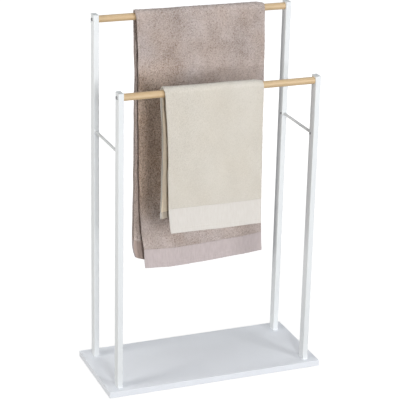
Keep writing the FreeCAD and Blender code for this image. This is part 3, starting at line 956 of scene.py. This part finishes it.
hand = Towel(
    seed=57,
    yb=-94.0,
    zb=738.0,
    r0=8.7,
    ply=2.7,
    thick=6.0,
    width=245.0,
    front=338.5,
    back=304.0,
    front_left=[
        (756, -142),
        (746, -139.5),
        (727, -137),
        (684, -134),
        (643, -131),
        (595, -129.2),
        (546, -128.5),
        (497, -128),
        (447, -125.8),
        (409, -121.5),
        (400, -120),
    ],
    front_right=[(738, 104), (600, 105), (462, 107.5), (400, 109)],
    back_left=[
        (756, -141),
        (716, -139.5),
        (637, -139),
        (589, -138.3),
        (540, -138.8),
        (491, -140),
        (459, -141),
        (430, -140.5),
    ],
    back_right=[(738, 104), (430, 105)],
    front_hem=[(-141, 400), (-20, 399), (104, 399.5)],
    back_hem=[(-141, 434), (104, 434)],
    band_front=62.0,
    band_back=17.0,
    hem=12.0,
    selvedge=2.0,
    pile=0.5,
    pile_height=0.8,
    tuft=(4.0, 7.0),
    swell=0.5,
    flute=0.6,
    bulge=0.8,
    bulge_at=0.55,
    bulge_from=80.0,
    ripple=0.4,
    curl_front=0.5,
    curl_back=-1.0,
    lean_front=0.0,
    lean_back=9.5,
    edge_wave=0.7,
    shoulder=0.5,
    left_lift=0.8,
    slip=1.0,
    part=1.3,
)

bath_ob = towel_piece("bath_towel_cloth", bath, 3.1, 4.5, 2.1, (taupe_terry, taupe_band))
hand_ob = towel_piece("hand_towel_cloth", hand, 2.7, 3.6, 2.1, (ivory_terry, ivory_band))
bath_st = stitches("bath_towel_stitches", bath, taupe_thread)
hand_st = stitches("hand_towel_stitches", hand, ivory_thread)
for ob, st, body, spec, slot_name, bar in (
    (bath_ob, bath_st, "bath_towel", bath, "towel_taupe", "rear_bar"),
    (hand_ob, hand_st, "hand_towel", hand, "towel_ivory", "front_bar"),
):
    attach(ob, body)
    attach(st, body)
    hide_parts(body)

# ------------------------------------------------------------------ stage and light
floor_mesh = bpy.data.meshes.new("floor")
ring = [
    (40 * math.cos(i * math.pi / 48), 40 * math.sin(i * math.pi / 48), 0.0)
    for i in range(96)
]
floor_mesh.from_pydata(ring, [], [list(range(96))])
floor = bpy.data.objects.new("floor", floor_mesh)
scene.collection.objects.link(floor)
mat = bpy.data.materials.new("pale_floor")
mat.use_nodes = True
tree = mat.node_tree
tree.nodes.clear()
out = tree.nodes.new("ShaderNodeOutputMaterial")
diffuse = tree.nodes.new("ShaderNodeBsdfDiffuse")
diffuse.inputs["Color"].default_value = (0.30, 0.30, 0.30, 1)
glow = tree.nodes.new("ShaderNodeEmission")
glow.inputs["Color"].default_value = (1, 1, 1, 1)
path = tree.nodes.new("ShaderNodeLightPath")
away = tree.nodes.new("ShaderNodeVectorMath")
away.operation = "LENGTH"
tree.links.new(object_coords(tree), away.inputs[0])
seen = remap(tree, away.outputs["Value"], 0.6, 2.2, 0.85, 1.05)
strength = tree.nodes.new("ShaderNodeMix")
strength.data_type = "FLOAT"
strength.inputs["A"].default_value = 0.06
tree.links.new(
    math_node(tree, "MAXIMUM", path.outputs["Is Camera Ray"], path.outputs["Is Glossy Ray"]),
    strength.inputs["Factor"],
)
tree.links.new(seen, strength.inputs["B"])
tree.links.new(strength.outputs["Result"], glow.inputs["Strength"])
both = tree.nodes.new("ShaderNodeAddShader")
tree.links.new(diffuse.outputs[0], both.inputs[0])
tree.links.new(glow.outputs[0], both.inputs[1])
tree.links.new(both.outputs[0], out.inputs["Surface"])
floor_mesh.materials.append(mat)

world = bpy.data.worlds.new("studio")
scene.world = world
world.use_nodes = True
tree = world.node_tree
tree.nodes.clear()
out = tree.nodes.new("ShaderNodeOutputWorld")
light_bg = tree.nodes.new("ShaderNodeBackground")
light_bg.inputs["Color"].default_value = (0.96, 0.98, 1.0, 1)
light_bg.inputs["Strength"].default_value = 0.05
seen_bg = tree.nodes.new("ShaderNodeBackground")
seen_bg.inputs["Color"].default_value = (1, 1, 1, 1)
seen_bg.inputs["Strength"].default_value = 1.0
path = tree.nodes.new("ShaderNodeLightPath")
pick = tree.nodes.new("ShaderNodeMixShader")
tree.links.new(
    math_node(tree, "MAXIMUM", path.outputs["Is Camera Ray"], path.outputs["Is Glossy Ray"]),
    pick.inputs[0],
)
tree.links.new(light_bg.outputs[0], pick.inputs[1])
tree.links.new(seen_bg.outputs[0], pick.inputs[2])
tree.links.new(pick.outputs[0], out.inputs["Surface"])


def softbox(name, azimuth, elevation, distance, size, power, colour=(1, 1, 1)):
    """Azimuth 0 is straight in front of the stand; positive is towards +X."""
    a, e = math.radians(azimuth), math.radians(elevation)
    target = Vector((0, 0, 0.45))
    back = Vector((math.sin(a) * math.cos(e), -math.cos(a) * math.cos(e), math.sin(e)))
    data = bpy.data.lights.new(name, "AREA")
    data.shape = "RECTANGLE"
    data.size, data.size_y = size
    data.energy = power
    data.color = colour
    ob = bpy.data.objects.new(name, data)
    ob.location = target + back * distance
    ob.rotation_euler = back.to_track_quat("Z", "Y").to_euler()
    scene.collection.objects.link(ob)
    return ob


softbox("key", -7, 14, 4.2, (0.7, 1.3), 82.0)
softbox("right_front", 30, 14, 4.2, (1.2, 1.2), 74.0)
softbox("left", -82, 12, 3.0, (1.0, 1.8), 49.0, (1.0, 0.975, 0.935))
softbox("overhead", 0, 88, 2.6, (2.4, 2.0), 21.0, (0.93, 0.97, 1.0))
softbox("right", 104, 6, 3.4, (1.8, 1.6), 38.0)
softbox("rear", 180, 3, 3.4, (1.2, 1.2), 26.0)
